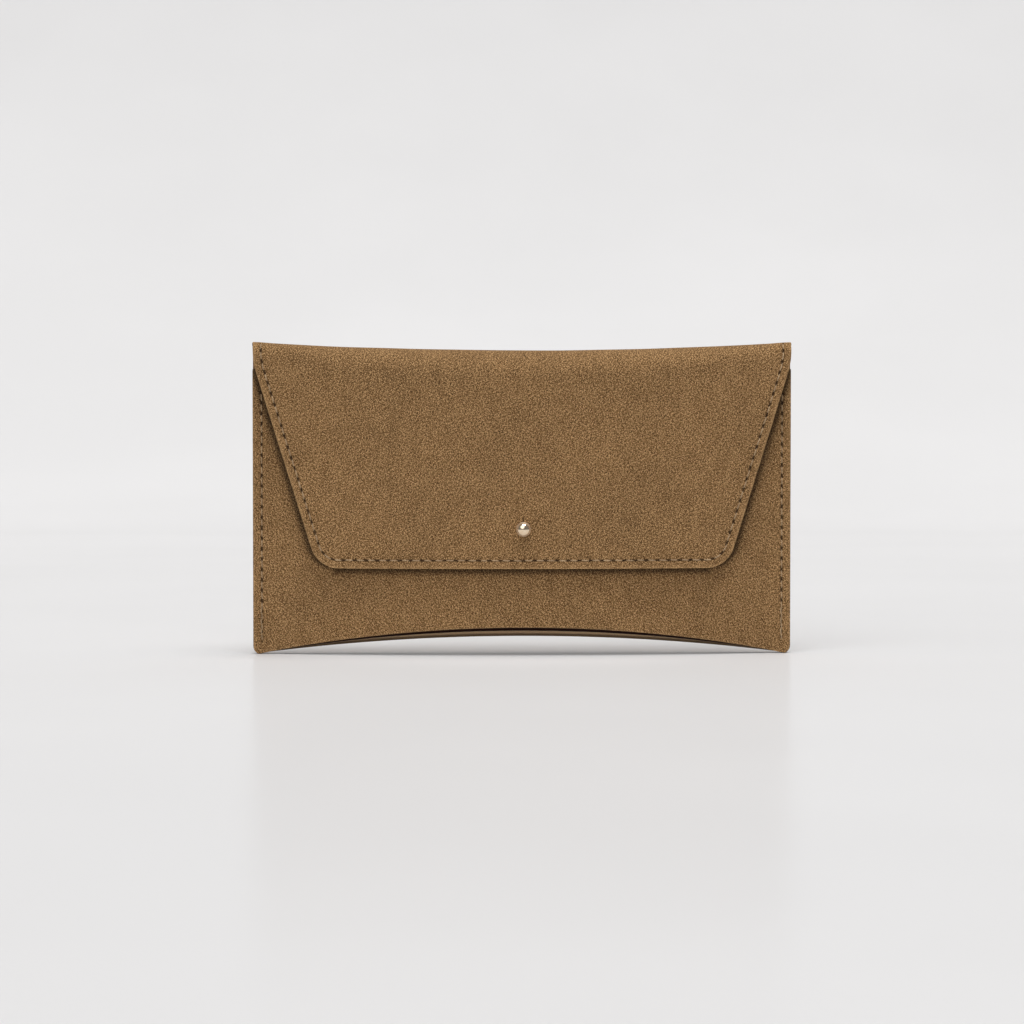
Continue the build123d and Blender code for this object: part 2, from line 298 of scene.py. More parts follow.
def close_sheet(name, x, s, keep, place, outer, inner, split_row=None, flip=False, values=None):
    """A closed sheet over the kept cells of a grid, between two depths under its outside.

    Its free edges are rounded. At the split row it ends square, where another piece goes on."""
    count = x.size
    number, quads = number_grid(x, keep)
    edges = boundary_edges(quads)
    flat_x, flat_s, flat_out, flat_in = (a.ravel() for a in (x, s, outer, inner))
    flat_places = np.stack([flat_x, flat_s], 1)
    run = flat_places[edges[:, 1]] - flat_places[edges[:, 0]]
    away = np.stack([run[:, 1], -run[:, 0]], 1)
    away /= np.maximum(np.linalg.norm(away, axis=1, keepdims=True), 1e-9)
    normal = np.zeros((count, 2))
    for end in (0, 1):
        np.add.at(normal, edges[:, end], away)
    on_split = np.zeros(count, bool)
    if split_row is not None:
        on_split[number[split_row]] = True
        normal[on_split, 1] = 0
    length = np.linalg.norm(normal, axis=1, keepdims=True)
    normal = np.where(length > 1e-6, normal / np.maximum(length, 1e-6), 0)

    rim = np.unique(edges)
    at = np.full(count, -1)
    at[rim] = np.arange(len(rim))
    parts = [place(flat_x, flat_s, flat_out), place(flat_x, flat_s, flat_in)]
    uvs = [flat_places] * 2
    source = [np.arange(count), np.arange(count)]
    cut = [np.zeros(count), np.zeros(count)]
    flesh = [np.zeros(count), np.ones(count)]
    for share, bulge in RIM_RINGS:
        cut.append(np.full(len(rim), 1.0 if 0.2 < share < 0.8 else 0.2))
        flesh.append(np.full(len(rim), share))
        out_x = flat_x[rim] + normal[rim, 0] * bulge * RIM
        out_s = flat_s[rim] + normal[rim, 1] * bulge * RIM
        t = flat_out[rim] * (1 - share) + flat_in[rim] * share
        parts.append(place(out_x, out_s, t))
        uvs.append(np.stack([out_x + normal[rim, 0] * t, out_s + normal[rim, 1] * t], 1))
        source.append(rim)
    rounded = [2 * count + k * len(rim) + at[edges] for k in range(len(RIM_RINGS))]
    rings = [edges] + rounded + [count + edges]
    faces = np.concatenate([quads, count + quads[:, ::-1]] + faces_between(rings))
    if flip:
        faces = faces[:, ::-1]
    points, uvs, source = np.concatenate(parts), np.concatenate(uvs), np.concatenate(source)
    used, faces = np.unique(faces, return_inverse=True)
    faces = faces.reshape(-1, 4)
    sharp = (on_split[source] & (np.arange(len(source)) < 2 * count))[used]
    values = {key: value.ravel()[source][used] for key, value in (values or {}).items()}
    values["cut"] = np.concatenate(cut)[used]
    values["flesh"] = np.concatenate(flesh)[used]
    return add_mesh(name, points[used], faces.tolist(), uvs[used], values, sharp)


# ---- rows of stitches ----
def path_through(*pieces):
    """Points every step along joined straight and curved pieces of a flat path."""
    corners = np.concatenate(pieces)
    along = np.concatenate([[0], np.cumsum(np.linalg.norm(np.diff(corners, axis=0), axis=1))])
    places = np.arange(0, along[-1], PATH_STEP)
    return np.stack([np.interp(places, along, corners[:, k]) for k in (0, 1)], 1), along[-1]


def flap_half_width(height, inset):
    """Half width of the flap at a height over the floor when the flap hangs flat."""
    lean = (HALF_WIDTH - FLAP_HALF_LOW) / (FLAP_SHOULDER - FLAP_LOW)
    slope = math.hypot(1, lean)
    side = FLAP_HALF_LOW + lean * (height - FLAP_LOW) - inset * slope
    soft = 0.5
    side = HALF_WIDTH - inset - soft * np.logaddexp(0, (HALF_WIDTH - inset - side) / soft)
    centre_x = FLAP_HALF_LOW + lean * FLAP_CORNER - FLAP_CORNER * slope
    centre_z = FLAP_LOW + FLAP_CORNER
    radius = FLAP_CORNER - inset
    tangent_z = centre_z - radius * lean / slope
    over = np.clip(centre_z - height, -radius, radius)
    return np.where(height < tangent_z, centre_x + np.sqrt(radius**2 - over**2), side)


def flap_hem_path():
    """The flap's row of stitches, as x and s."""
    steps = 90
    low = FLAP_LOW + EDGE_DISTANCE
    corner = rounded_heights(FLAP_CORNER - EDGE_DISTANCE, 73, steps)
    straight = np.linspace(SHEET_LINE - 1.2, low + corner[-1], 4 * steps)
    heights = np.concatenate([straight, low + corner[::-1]])
    left = np.stack([-flap_half_width(heights, EDGE_DISTANCE), 2 * SHEET_LINE - heights], 1)
    right = left[::-1] * (-1, 1)
    return path_through(left, right)


def side_seam_path(side):
    x = side * (HALF_WIDTH - EDGE_DISTANCE)
    return path_through(np.array([(x, 4.0), (x, MOUTH_Z - 1)]))


def mouth_hem_path():
    x, z = SEAM_X - EDGE_DISTANCE, MOUTH_Z - EDGE_DISTANCE
    return path_through(np.array([(-x, z), (x, z)]))


def side_seam_rows():
    return [(side_seam_path(side), SEAM_PITCH, EXTRA_STITCHES) for side in (-1, 1)]


def stitch_count(length, pitch):
    return int(length // pitch)


def row_marks(x, s, rows):
    """Depth of the groove that each row of stitches pulls in, and where each point is along and off a row."""
    groove_half_width, thread_depth, hole_half_length, hole_depth, far_off = 0.6, 0.12, 0.75, 0.42, 9.0
    groove = np.zeros(x.shape)
    along = np.full(x.shape, 0.5)
    off = np.full(x.shape, far_off)
    for (path, length), pitch, extra in rows:
        index, gap = nearest(path, x, s)
        share = index * PATH_STEP / length * stitch_count(length, pitch)
        share = np.where(share < extra, 2 * share, share)
        to_hole = abs(share - np.round(share)) * pitch
        hole = np.exp(-((to_hole / hole_half_length) ** 2))
        inside = (index > 0) & (index < len(path) - 1)
        near = np.exp(-((gap / groove_half_width) ** 2)) * inside
        groove = np.maximum(groove, near * (thread_depth + hole_depth * hole))
        close = (gap < MARK_REACH) & inside
        along = np.where(close, share, along)
        off = np.where(close, gap, off)
    return groove, along, off


def stitches(name, row, pitch, place, seed, extra):
    """Two-ply stitches along a row, each rising out of one hole and dipping into the next."""
    path, length = row
    count = stitch_count(length, pitch)
    rng = np.random.default_rng(seed)
    sides, rings = 10, 17
    points, faces = [], []
    starts = [(i, 0.0) for i in range(count)] + [(i + 0.5, 0.25) for i in range(extra)]
    for start, aside in starts:
        share = np.linspace(0.03, 0.97, rings)
        along = (start + share) / count * length
        x = np.interp(along / PATH_STEP, np.arange(len(path)), path[:, 0])
        s = np.interp(along / PATH_STEP, np.arange(len(path)), path[:, 1])
        lean = rng.uniform(0.05, 0.14)
        run = np.array([x[-1] - x[0], s[-1] - s[0]])
        run /= np.linalg.norm(run)
        shift = (share - 0.5) * 2 * lean + aside + rng.uniform(-0.04, 0.04)
        x, s = x - run[1] * shift, s + run[0] * shift
        rise = STITCH_HEIGHT * rng.uniform(0.8, 1.3) - STITCH_DIP * abs(2 * share - 1) ** 1.5
        centre, above = place(x, s, -rise), place(x, s, -rise - 0.5)
        up = above - centre
        up /= np.linalg.norm(up, axis=1, keepdims=True)
        forward = np.gradient(centre, axis=0)
        forward /= np.linalg.norm(forward, axis=1, keepdims=True)
        across = np.cross(forward, up)
        across /= np.linalg.norm(across, axis=1, keepdims=True)
        up = np.cross(across, forward)
        turns = np.arange(sides) * 2 * math.pi / sides
        twist = share * pitch * 2 * math.pi / TWIST_LENGTH + rng.uniform(0, 3)
        radius = THREAD_RADIUS * (0.88 + 0.2 * np.cos(2 * (turns[None] - twist[:, None])))
        sideways = across[:, None] * (np.cos(turns) * radius)[..., None]
        upwards = up[:, None] * (np.sin(turns) * radius)[..., None]
        base = len(points) * rings * sides
        points.append((centre[:, None] + (sideways + upwards)).reshape(-1, 3))
        for j in range(rings - 1):
            for k in range(sides):
                a, b = base + j * sides + k, base + j * sides + (k + 1) % sides
                faces.append((a, b, b + sides, a + sides))
        faces.append(tuple(base + k for k in reversed(range(sides))))
        faces.append(tuple(base + (rings - 1) * sides + k for k in range(sides)))
    return add_mesh(name, np.concatenate(points), faces)


# ---- shader helpers ----
def srgb(*rgb):
    """Linear colour from 0 to 255 display values."""
    linear = [(c / 255 / 12.92) if c <= 10 else ((c / 255 + 0.055) / 1.055) ** 2.4 for c in rgb]
    return (*linear, 1)


class Shader:
    """A node material under construction."""

    def __init__(self, name):
        self.material = bpy.data.materials.new(name)
        self.material.use_nodes = True
        self.tree = self.material.node_tree
        self.surface = self.tree.nodes["Principled BSDF"]

    def put(self, socket, value):
        if isinstance(value, bpy.types.NodeSocket):
            self.tree.links.new(value, socket)
        else:
            socket.default_value = value

    def node(self, kind, inputs, **settings):
        made = self.tree.nodes.new(kind)
        for key, value in settings.items():
            setattr(made, key, value)
        for key, value in inputs.items():
            self.put(made.inputs[key], value)
        return made

    def math(self, operation, a, b=0.0):
        return self.node("ShaderNodeMath", {0: a, 1: b}, operation=operation).outputs[0]

    def total(self, *parts):
        """The sum of values, each times its weight."""
        weighed = [self.math("MULTIPLY", value, weight) for value, weight in parts]
        result = weighed[0]
        for value in weighed[1:]:
            result = self.math("ADD", result, value)
        return result

    def noise(self, where, scale, detail=3.0, rough=0.55):
        inputs = {"Vector": where, "Scale": scale, "Detail": detail, "Roughness": rough}
        return self.node("ShaderNodeTexNoise", inputs).outputs["Fac"]

    def stretch(self, where, amount):
        return self.node("ShaderNodeMapping", {"Vector": where, "Scale": amount}).outputs[0]

    def turned(self, where, degrees):
        inputs = {"Vector": where, "Rotation": (0, 0, math.radians(degrees))}
        return self.node("ShaderNodeMapping", inputs).outputs[0]

    def spread(self, value, low, high, to_low=0.0, to_high=1.0):
        inputs = {"Value": value, "From Min": low, "From Max": high, "To Min": to_low, "To Max": to_high}
        return self.node("ShaderNodeMapRange", inputs, interpolation_type="SMOOTHSTEP").outputs[0]

    def mix(self, factor, a, b, blend="MIX"):
        made = self.node("ShaderNodeMix", {0: factor, 6: a, 7: b}, data_type="RGBA", blend_type=blend)
        return made.outputs[2]

    def dim(self, colour, amount):
        """The colour times a plain amount."""
        grey = self.node("ShaderNodeCombineColor", {0: amount, 1: amount, 2: amount}).outputs[0]
        return self.mix(1.0, colour, grey, "MULTIPLY")

    def value_of(self, name):
        return self.node("ShaderNodeAttribute", {}, attribute_name=name).outputs["Fac"]

    def flat_place(self):
        return self.node("ShaderNodeUVMap", {}, uv_map="flat").outputs[0]

    def solid_place(self):
        return self.node("ShaderNodeTexCoord", {}).outputs["Object"]

    def bump(self, height, depth_mm, strength):
        inputs = {"Height": height, "Distance": depth_mm * MM, "Strength": strength}
        return self.node("ShaderNodeBump", inputs).outputs[0]

    def finish(self, **inputs):
        for key, value in inputs.items():
            self.put(self.surface.inputs[key.replace("_", " ")], value)
        return self.material


def suede_material(name, dark, middle, light, pits=True):
    shader = Shader(name)
    where = shader.flat_place()
    clouds = shader.noise(where, 38, 4, 0.6)
    nap = shader.noise(shader.stretch(where, (1, 0.55, 1)), 260, 3, 0.6)
    coarse = shader.noise(shader.turned(where, 37), 1400, 1, 0.5)
    grain = shader.noise(shader.turned(where, 61), 2700, 1, 0.5)
    fibre = shader.noise(shader.turned(where, 17), 4600, 1, 0.5)
    shade = shader.total((grain, 0.46), (fibre, 0.3), (coarse, 0.18), (nap, 0.06))
    colour = shader.mix(shader.spread(shade, 0.41, 0.5), dark, middle)
    colour = shader.mix(shader.spread(shade, 0.5, 0.59), colour, light)
    colour = shader.dim(colour, shader.spread(clouds, 0.3, 0.7, 0.94, 1.06))
    worn = shader.math("MULTIPLY", shader.value_of("edge"), shader.spread(nap, 0.3, 0.7, 0.35, 1.0))
    colour = shader.mix(worn, colour, light)
    flesh = shader.value_of("flesh")
    colour = shader.mix(shader.math("MULTIPLY", flesh, 0.8), colour, srgb(240, 204, 162))
    # painted shade: the flesh side darkens near the cut edges, most on the inside face
    flesh_edge_shade = shader.math("MULTIPLY", shader.value_of("outline"), flesh)
    colour = shader.dim(colour, shader.spread(flesh_edge_shade, 0.0, 1.0, 1.0, 0.3))
    # painted shadow of the closed flap on the front
    colour = shader.dim(colour, shader.spread(shader.value_of("sheltered"), 0.0, 1.0, 1.0, 0.3))
    # darker cut edges: partly the raw edge's own tone, partly painted shade on the rims that face down
    colour = shader.dim(colour, shader.spread(shader.value_of("cut"), 0.0, 1.0, 1.0, 0.36))
    height = shader.math("ADD", grain, shader.math("MULTIPLY", fibre, 0.5))
    # painted shade: each stitch hole is coloured dark brown for the shade inside it, as well as being bumped
    # in
    if pits:
        part = shader.math("FRACT", shader.math("ADD", shader.value_of("stitch_along"), 0.5))
        nearby = shader.math("ABSOLUTE", shader.math("SUBTRACT", part, 0.5))
        length = shader.math("DIVIDE", nearby, 0.3)
        side = shader.math("DIVIDE", shader.value_of("stitch_off"), 0.38)
        size = shader.math("ADD", shader.math("POWER", length, 4.0), shader.math("POWER", side, 2.0))
        hole = shader.spread(size, 1.4, 0.4)
        colour = shader.mix(shader.math("MULTIPLY", hole, 0.82), colour, srgb(34, 21, 12))
        height = shader.math("SUBTRACT", height, shader.math("MULTIPLY", hole, 1.2))
    return shader.finish(
        Base_Color=colour,
        Roughness=shader.spread(fibre, 0.2, 0.8, 0.86, 1.0),
        Normal=shader.bump(height, 0.2, 1.0),
        Specular_IOR_Level=0.18,
        Sheen_Weight=0.2,
        Sheen_Roughness=0.45,
        Sheen_Tint=light,
    )


def lining_material():
    shader = Shader("brushed_lining")
    where = shader.flat_place()
    pile = shader.noise(shader.stretch(where, (1, 0.8, 1)), 2600, 2, 0.6)
    patches = shader.noise(where, 70, 4, 0.6)
    tone = shader.total((pile, 0.8), (patches, 0.2))
    colour = shader.mix(shader.spread(tone, 0.32, 0.68), srgb(110, 76, 48), srgb(164, 124, 86))
    # painted shade: the lining goes near black brown round its bottom fold, in the gap behind the front's
    # lower edge
    colour = shader.mix(shader.value_of("gap_shade"), colour, srgb(42, 20, 11))
    return shader.finish(
        Base_Color=colour,
        Roughness=shader.spread(patches, 0.3, 0.7, 0.85, 0.98),
        Normal=shader.bump(pile, 0.08, 0.7),
        Specular_IOR_Level=0.2,
        Sheen_Weight=0.3,
        Sheen_Roughness=0.4,
    )


def thread_material():
    shader = Shader("twisted_thread")
    where = shader.solid_place()
    strand = shader.noise(where, 5200, 3, 0.7)
    slow = shader.noise(where, 190, 2, 0.5)
    colour = shader.mix(shader.spread(strand, 0.3, 0.7), srgb(112, 86, 56), srgb(224, 192, 150))
    colour = shader.mix(shader.spread(slow, 0.3, 0.7, 0.0, 0.35), colour, srgb(112, 84, 55))
    return shader.finish(
        Base_Color=colour,
        Roughness=shader.spread(strand, 0.3, 0.7, 0.5, 0.75),
        Normal=shader.bump(strand, 0.05, 0.6),
        Specular_IOR_Level=0.35,
    )


def board_material():
    shader = Shader("leatherboard")
    where = shader.solid_place()
    chips = shader.noise(where, 900, 5, 0.7)
    shreds = shader.noise(shader.stretch(where, (0.3, 1, 1)), 2400, 2, 0.6)
    tone = shader.total((chips, 0.6), (shreds, 0.4))
    colour = shader.mix(shader.spread(tone, 0.35, 0.65), srgb(84, 58, 36), srgb(148, 112, 76))
    return shader.finish(
        Base_Color=colour,
        Roughness=shader.spread(shreds, 0.3, 0.7, 0.7, 0.9),
        Normal=shader.bump(tone, 0.06, 0.6),
    )


def metal_material():
    shader = Shader("pale_gold_plate")
    where = shader.solid_place()
    haze = shader.noise(where, 700, 3, 0.6)
    lines = shader.noise(shader.stretch(where, (1, 8, 1)), 1500, 2, 0.5)
    colour = shader.mix(shader.spread(haze, 0.3, 0.7), srgb(232, 208, 178), srgb(246, 228, 202))
    facing = shader.node("ShaderNodeLayerWeight", {"Blend": 0.5}).outputs["Facing"]
    dull_rim = shader.spread(facing, 0.3, 0.6, 0.0, 0.4)
    return shader.finish(
        Base_Color=colour,
        Metallic=0.85,
        Roughness=shader.math("ADD", shader.spread(haze, 0.25, 0.75, 0.08, 0.13), dull_rim),
        Normal=shader.bump(lines, 0.004, 0.15),
    )


SUEDE_TONES = (srgb(66, 45, 24), srgb(132, 99, 63), srgb(208, 167, 117))
suede = suede_material("nap_suede", *SUEDE_TONES)
plain_suede = suede_material("patch_suede", *SUEDE_TONES, pits=False)
brushed = lining_material()
twisted = thread_material()
leatherboard = board_material()
pale_gold = metal_material()


def dress(obj, material):
    """One material on the whole object, and the record's slot that it stands for."""
    if len(obj.material_slots):
        for place in obj.material_slots:
            place.material = material
    else:
        obj.data.materials.append(material)
    return obj


# ---- the suede: grid columns as distances from the side, rows as distances from the split and the mouth ----
EDGE_COLUMNS = (0, 0.45, 0.95, 1.5, 2.0, 2.4, 2.75, 3.1, 3.45, 3.85, 4.3, 4.9, 5.6, 6.2, 6.8, 7.6, 8.8, 10.2)
SPLIT_ROWS = (0.7, 0.35, 0.12, 0.0)
MOUTH_ROWS = (6.1, 5.2, 4.5, 4.0, 3.6, 3.2, 2.8, 2.45, 2.1, 1.7, 1.2, 0.6, 0)


def suede_piece(name, x, s, keep, place, rows, split_row, flip, seed, sheltered=0.0, worn=0.75):
    """A suede sheet with its grooves, its rippled faces and its worn edges."""
    number, cells = number_grid(x)
    edges = boundary_edges(cells)
    if split_row is not None:
        edges = edges[~np.isin(edges, number[split_row]).all(axis=1)]
    flat_places = np.stack([x.ravel(), s.ravel()], 1)
    ends = flat_places[edges[:, 0]], flat_places[edges[:, 1]]
    outline = np.concatenate([ends[0] * (1 - f) + ends[1] * f for f in (0, 0.25, 0.5, 0.75)])
    inset = nearest(outline, x, s)[1]
    groove, along, off = row_marks(x, s, rows)
    rise = ripple(x, s, seed)
    outer = groove - rise - 0.06 * smooth(inset / 2.5) * (1 - smooth((inset - 4) / 3))
    thick = SUEDE + (PRESSED_SUEDE - SUEDE) * (1 - smooth((inset - 2.8) / 1.8))
    values = {
        "edge": worn * np.exp(-inset / 0.45),
        "stitch_along": along,
        "stitch_off": off,
        "outline": np.exp(-((inset / 0.75) ** 4)),
        "sheltered": np.broadcast_to(sheltered, x.shape),
    }
    piece = close_sheet(name, x, s, keep, place, outer, thick - rise, split_row, flip, values)
    return dress(piece, suede)


def side_half_width(height):
    """Half width of the back and front over their rounded lower corners."""
    over = np.clip(CORNER - height, 0, CORNER - RIM)
    return HALF_WIDTH - CORNER + np.sqrt((CORNER - RIM) ** 2 - over**2)


def panel_edge(arch):
    """The half width of a panel at each s, for a lower edge with this arch."""
    return lambda s: side_half_width(s - lower_edge(HALF_WIDTH - CORNER / 3, arch))


LOW_ROWS = rounded_heights(CORNER - RIM, first_turn=80, pieces=9) + RIM


def back_level(heights, x):
    foot = lower_edge(x, BACK_ARCH)
    return foot + heights * (split_s(x) - foot) / split_s(0)


def make_suede_back():
    top = split_s(0)
    heights = fill_heights(LOW_ROWS, top - 1.2, spacing=0.72)
    heights = np.concatenate([heights, top - np.array(SPLIT_ROWS)])
    x, s = lay_grid(heights, back_level, panel_edge(BACK_ARCH), EDGE_COLUMNS, middle_columns=84)
    keep = np.ones((x.shape[0] - 1, x.shape[1] - 1), bool)
    piece = suede_piece("suede_back", x, s, keep, folded, side_seam_rows(), -1, True, FOLDED_SEED)
    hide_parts("back_panel")
    return piece


def flap_level(heights, x):
    """s of a row of the flap, counted from its lower edge up, level below and along the split on top."""
    lifted = split_s(x) - split_s(0)
    top = 2 * SHEET_LINE - split_s(0) - FLAP_LOW
    share = smooth((heights - 0.72 * top) / (0.28 * top))
    return 2 * SHEET_LINE - FLAP_LOW - heights + share * lifted


def flap_grid(corner_rows, spacing, edge_columns, middle_columns, inset, hole):
    top = 2 * SHEET_LINE - split_s(0) - FLAP_LOW
    radius = FLAP_CORNER - inset
    heights = rounded_heights(radius, 48, corner_rows) + inset
    heights = fill_heights(heights, top - 1.2, spacing)
    heights = np.concatenate([heights, top - np.array(SPLIT_ROWS)])

    def edge_at(s):
        return flap_half_width(2 * SHEET_LINE - s, inset)

    x, s = lay_grid(heights, flap_level, edge_at, edge_columns, middle_columns)
    keep = np.ones((x.shape[0] - 1, x.shape[1] - 1), bool)
    return open_hole(x, s, keep, hole)


def open_hole(x, s, keep, radius):
    """Opens a round hole for the stud's neck, with a slit above it, and draws the grid round them."""
    spread_over = 4.5
    centre = 2 * SHEET_LINE - STUD_Z
    dx, ds = x, s - centre
    square = np.maximum(abs(dx), abs(ds))
    middle = (slice(None, -1), slice(None, -1)), (slice(1, None), slice(1, None))
    cell_x = (dx[middle[0]] + dx[middle[1]]) / 2
    cell_s = (ds[middle[0]] + ds[middle[1]]) / 2
    gone = np.maximum(abs(cell_x), abs(cell_s)) < radius * 0.95
    slit = (abs(cell_x) < SLIT_HALF / 2) & (cell_s < 0) & (cell_s > -radius - SLIT_LENGTH)
    touched = np.zeros(x.shape, bool)
    for rows in (slice(None, -1), slice(1, None)):
        for cols in (slice(None, -1), slice(1, None)):
            touched[rows, cols] |= gone
    inner = square[touched].max()
    outer = radius + spread_over
    length = np.maximum(np.hypot(dx, ds), 1e-6)
    pull = 1 - smooth((square - inner) / (outer - inner))
    round_x, round_s = dx / length * radius * square / inner, ds / length * radius * square / inner
    near = (square < outer) & (abs(dx) > SLIT_HALF * 1.5)
    new_x = np.where(near, dx + pull * (round_x - dx), x)
    new_s = np.where(square < outer, ds + pull * (round_s - ds), ds)
    return new_x, new_s + centre, keep & ~gone & ~slit


def make_suede_flap():
    x, s, keep = flap_grid(
        corner_rows=12, spacing=0.7, edge_columns=EDGE_COLUMNS, middle_columns=112,
        inset=RIM, hole=HOLE_RADIUS,
    )
    rows = [(flap_hem_path(), HEM_PITCH, 0)]
    piece = suede_piece("suede_flap", x, s, keep, folded, rows, -1, False, FOLDED_SEED)
    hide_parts("flap_panel", "fold_panel")
    return piece


def front_level(heights, x):
    foot = lower_edge(x, FRONT_ARCH)
    return foot + heights * (MOUTH_Z - RIM - foot) / (MOUTH_Z - RIM)


def painted_flap_shadow(x, z):
    """Painted shadow of the closed flap on the front's nap: a little all over under it, most along a line
    just below and beside its edge, and a wide soft band beside its sloping sides.
    """
    shade_all_over, shade_along_edge, shade_beside_it = 0.35, 0.45, 0.12
    below = FLAP_LOW - z
    beside = abs(x) - flap_half_width(np.maximum(z, FLAP_LOW), 0)
    outside = np.maximum(below, beside)
    covered = 1 - smooth((outside - 0.2) / 2.4)
    edge_shadow = np.exp(-(((outside - 0.4) / 1.9) ** 2))
    side_shadow = np.exp(-((beside / 5) ** 2)) * (1 - smooth((below + 1) / 3))
    return shade_all_over * covered + shade_along_edge * edge_shadow + shade_beside_it * side_shadow


def make_suede_front():
    top = MOUTH_Z - RIM
    heights = fill_heights(LOW_ROWS, top - 7, spacing=0.74)
    heights = np.concatenate([heights, top - np.array(MOUTH_ROWS)])
    x, s = lay_grid(heights, front_level, panel_edge(FRONT_ARCH), EDGE_COLUMNS, middle_columns=112)
    keep = np.ones((x.shape[0] - 1, x.shape[1] - 1), bool)
    rows = side_seam_rows() + [(mouth_hem_path(), HEM_PITCH, 0)]
    piece = suede_piece(
        "suede_front", x, s, keep, front_sheet, rows, None, False, FRONT_SEED, painted_flap_shadow(x, s), worn=0.2
    )
    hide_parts("front_panel")
    return piece


# ---- the lining ----
LINING_COLUMNS = (0, 1.0, 2.2, 3.2, 4.4, 5.4, 6.0, 6.5, 7.0, 7.7, 8.8, 10.5)


def pocket_middle(x, row):
    """Depth and height of the middle of the pocket lining.

    Row 0 is at the split, 1 and 2 are the ends of the bottom fold, 3 is over the gusset, 4 at the mouth."""
    foot = lower_edge(x, BACK_ARCH) + LINING_LIFT + LINING_SETBACK * (1 - (x / HALF_WIDTH) ** 2)
    spring = foot + LINING_TURN
    start = split_s(x)
    back = folded(x, start + (spring - start) * np.clip(row, 0, 1), PANEL - LINING_TURN)
    depth, z = BACK_Y - back[..., 1], back[..., 2]
    angle = math.pi * (1 + np.clip(row - 1, 0, 1))
    depth = np.where(row > 1, PANEL + LINING_TURN * np.cos(angle), depth)
    z = np.where(row > 1, spring + LINING_TURN * np.sin(angle), z)
    climb = spring + (GUSSET_TOP + 4 - spring) * np.clip(row - 2, 0, 1)
    climb = climb + (MOUTH_Z - 0.5 - GUSSET_TOP - 4) * np.clip(row - 3, 0, 1)
    share = ramp((climb - GUSSET_FOOT) / (GUSSET_TOP - GUSSET_FOOT))
    front = PANEL + LINING_TURN + front_bow(x) * share
    return np.where(row > 2, front, depth), np.where(row > 2, climb, z)


def make_pocket_lining():
    back, turn = np.linspace(0, 1, 70)[:-1], np.linspace(1, 2, 9)[:-1]
    gusset, front = np.linspace(2, 3, 26)[:-1], np.linspace(3, 4, 40)
    row = np.concatenate([back, turn, gusset, front])
    middle_columns = 44
    columns = column_places(HALF_WIDTH - 0.25, LINING_COLUMNS, middle_columns)
    x = np.repeat(columns[None], len(row), axis=0)
    for _ in range(3):
        z = pocket_middle(x, row[:, None])[1]
        edge = HALF_WIDTH - CORNER - 0.2 + np.sqrt(CORNER**2 - np.clip(CORNER - z[:, -1], 0, CORNER) ** 2)
        x = np.stack([column_places(e, LINING_COLUMNS, middle_columns) for e in edge])
    depth, z = pocket_middle(x, row[:, None])
    run_d, run_z = np.gradient(depth, axis=0), np.gradient(z, axis=0)
    size = np.hypot(run_d, run_z)
    across = np.stack([run_z / size, -run_d / size])
    measured = 60  # a column near the middle
    steps = np.hypot(np.diff(depth[:, measured]), np.diff(z[:, measured]))
    flat_s = np.cumsum(np.concatenate([[0], steps]))
    middle = as_points(x, depth, z)
    normal = np.stack([np.zeros_like(x), -across[0], across[1]], axis=-1)
    flat_s = np.repeat(flat_s[:, None], x.shape[1], axis=1)
    # where the lining is painted dark as shade, round its bottom fold
    gap_shade = smooth((row - 0.9) / 0.06) * (1 - smooth((row - 2.15) / 0.25))
    gap_shade = np.repeat(gap_shade[:, None], x.shape[1], axis=1)
    piece = close_grid("lining_pocket", middle, normal, LINING / 2, x, flat_s, gap_shade)
    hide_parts("front_lining", "gusset_lining", "bottom_lining", "back_lining")
    return dress(piece, brushed)


def close_grid(name, middle, normal, half, x, s, gap_shade):
    """A closed sheet of even thickness on both sides of a grid of middle points, with rounded edges."""
    count = x.size
    number, quads = number_grid(x)
    edges = boundary_edges(quads)
    rim = np.unique(edges)
    at = np.full(count, -1)
    at[rim] = np.arange(len(rim))
    flat_mid, flat_normal = middle.reshape(-1, 3), normal.reshape(-1, 3)
    away = np.zeros((count, 3))
    away_x, away_s = np.gradient(middle, axis=1), np.gradient(middle, axis=0)
    sides = ((number[:, 0], -away_x[:, 0]), (number[:, -1], away_x[:, -1]), (number[-1], away_s[-1]))
    for index, direction in sides:
        away[index] += direction / np.linalg.norm(direction, axis=1, keepdims=True) * 0.6 * half
    parts = [flat_mid + flat_normal * half, flat_mid - flat_normal * half]
    for share in (0.6, -0.6):
        parts.append(flat_mid[rim] + away[rim] + flat_normal[rim] * half * share)
    rings = [edges, 2 * count + at[edges], 2 * count + len(rim) + at[edges], count + edges]
    faces = np.concatenate([quads, count + quads[:, ::-1]] + faces_between(rings))
    flat_uv = np.stack([x.ravel(), s.ravel()], 1)
    uvs = np.concatenate([flat_uv, flat_uv, flat_uv[rim], flat_uv[rim]])
    gap_shade = gap_shade.ravel()
    values = {"gap_shade": np.concatenate([gap_shade, gap_shade, gap_shade[rim], gap_shade[rim]])}
    return add_mesh(name, np.concatenate(parts), faces[:, ::-1].tolist(), uvs, values)


def make_flap_lining():
    x, s, keep = flap_grid(
        corner_rows=9, spacing=1.6, edge_columns=LINING_COLUMNS, middle_columns=50,
        inset=RIM + 0.15, hole=HOLE_RADIUS + 0.2,
    )
    outer = np.full(x.shape, PRESSED_SUEDE + 0.02)
    piece = close_sheet("lining_flap", x, s, keep, folded, outer, outer + LINING, -1, False)
    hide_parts("fold_lining", "flap_lining")
    return dress(piece, brushed)


